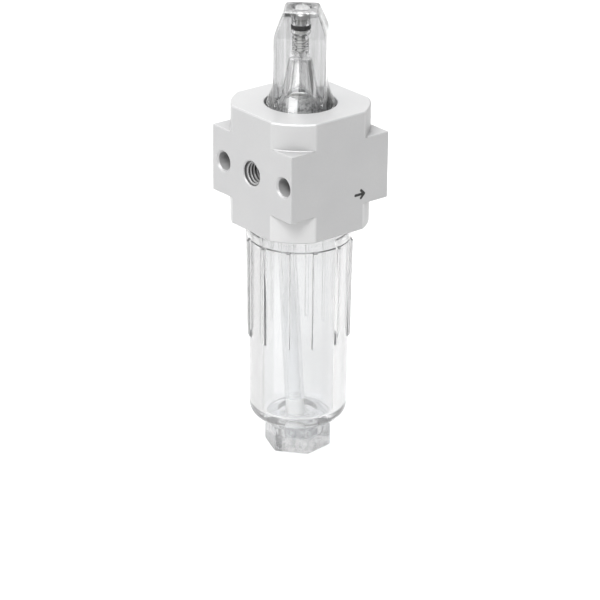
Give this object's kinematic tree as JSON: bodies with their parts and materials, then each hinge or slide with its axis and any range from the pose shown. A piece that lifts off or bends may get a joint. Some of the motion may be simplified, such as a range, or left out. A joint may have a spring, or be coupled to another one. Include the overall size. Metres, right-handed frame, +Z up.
{
  "type": "air line lubricator",
  "caption": "Miniature in-line air line lubricator: metal port block with threaded inlet and outlet, clear ribbed bowl with siphon tube, clear square sight dome and drip adjusting screw.",
  "frame": {"origin": "on the vertical axis of bowl, block and dome, at the underside of the hexagonal foot", "axes": "+X is the flow direction from inlet to outlet, -Y is the front face, +Z points up through the sight dome"},
  "size_m": [0.025, 0.025, 0.0944],
  "materials": {
    "anodised_aluminium": "fine satin, clear anodised after milling and turning",
    "clear_dome": "clear moulded polycarbonate, polished",
    "clear_bowl": "clear moulded polycarbonate, polished",
    "black_rubber": "black nitrile rubber, satin",
    "nickel_brass": "nickel-plated brass, turned",
    "steel": "bright stainless steel",
    "tube_plastic": "translucent white polyamide tube",
    "porous_plastic": "white sintered plastic"
  },
  "bodies": {
    "block": {"body": "anodised_aluminium", "sight_dome": "clear_dome", "dome_seal": "black_rubber", "drip_nozzle": "steel", "venturi_insert": "nickel_brass", "insert_seal_upper": "black_rubber", "insert_seal_lower": "black_rubber", "collar_seal": "black_rubber", "insert_screws": "steel", "flap_pin": "steel", "siphon_nipple": "nickel_brass", "channel_plugs": "nickel_brass", "siphon_tube": "tube_plastic", "siphon_filter": "porous_plastic"},
    "screw_seal": {"adjusting_screw_seal": "black_rubber"},
    "metering_screw": {"adjusting_screw": "nickel_brass"},
    "flap": {"air_flap": "steel"},
    "ball": {"check_ball": "steel"},
    "bowl_ring": {"bowl_seal": "black_rubber"},
    "bowl": {"bowl": "clear_bowl"}
  },
  "joints": [
    {"name": "screw_rise", "type": "slide", "parent": "block", "child": "screw_seal", "axis": [0, 0, 1], "range_m": [0, 0.001]},
    {"name": "screw_turn", "type": "hinge", "parent": "screw_seal", "child": "metering_screw", "pos_m": [0, 0, 0.09035], "axis": [0, 0, 1], "range_deg": [0, 720]},
    {"name": "bowl_drop", "type": "slide", "parent": "block", "child": "bowl_ring", "axis": [0, 0, -1], "range_m": [0, 0.0045]},
    {"name": "bowl_turn", "type": "hinge", "parent": "bowl_ring", "child": "bowl", "pos_m": [0, 0, 0.05599], "axis": [0, 0, -1], "range_deg": [0, 1080]},
    {"name": "flap_swing", "type": "hinge", "parent": "block", "child": "flap", "pos_m": [0.00021, 0, 0.06345], "axis": [0, -1, 0], "range_deg": [0, 55], "stiffness_Nm_per_rad": 0.000002},
    {"name": "ball_lift", "type": "slide", "parent": "block", "child": "ball", "axis": [0, 0, 1], "range_m": [0, 0.00045]}
  ],
  "couplings": [
    {"joint": "screw_turn", "follows": "screw_rise", "rad_per_m": 12566},
    {"joint": "bowl_turn", "follows": "bowl_drop", "rad_per_m": 4188.8}
  ]
}
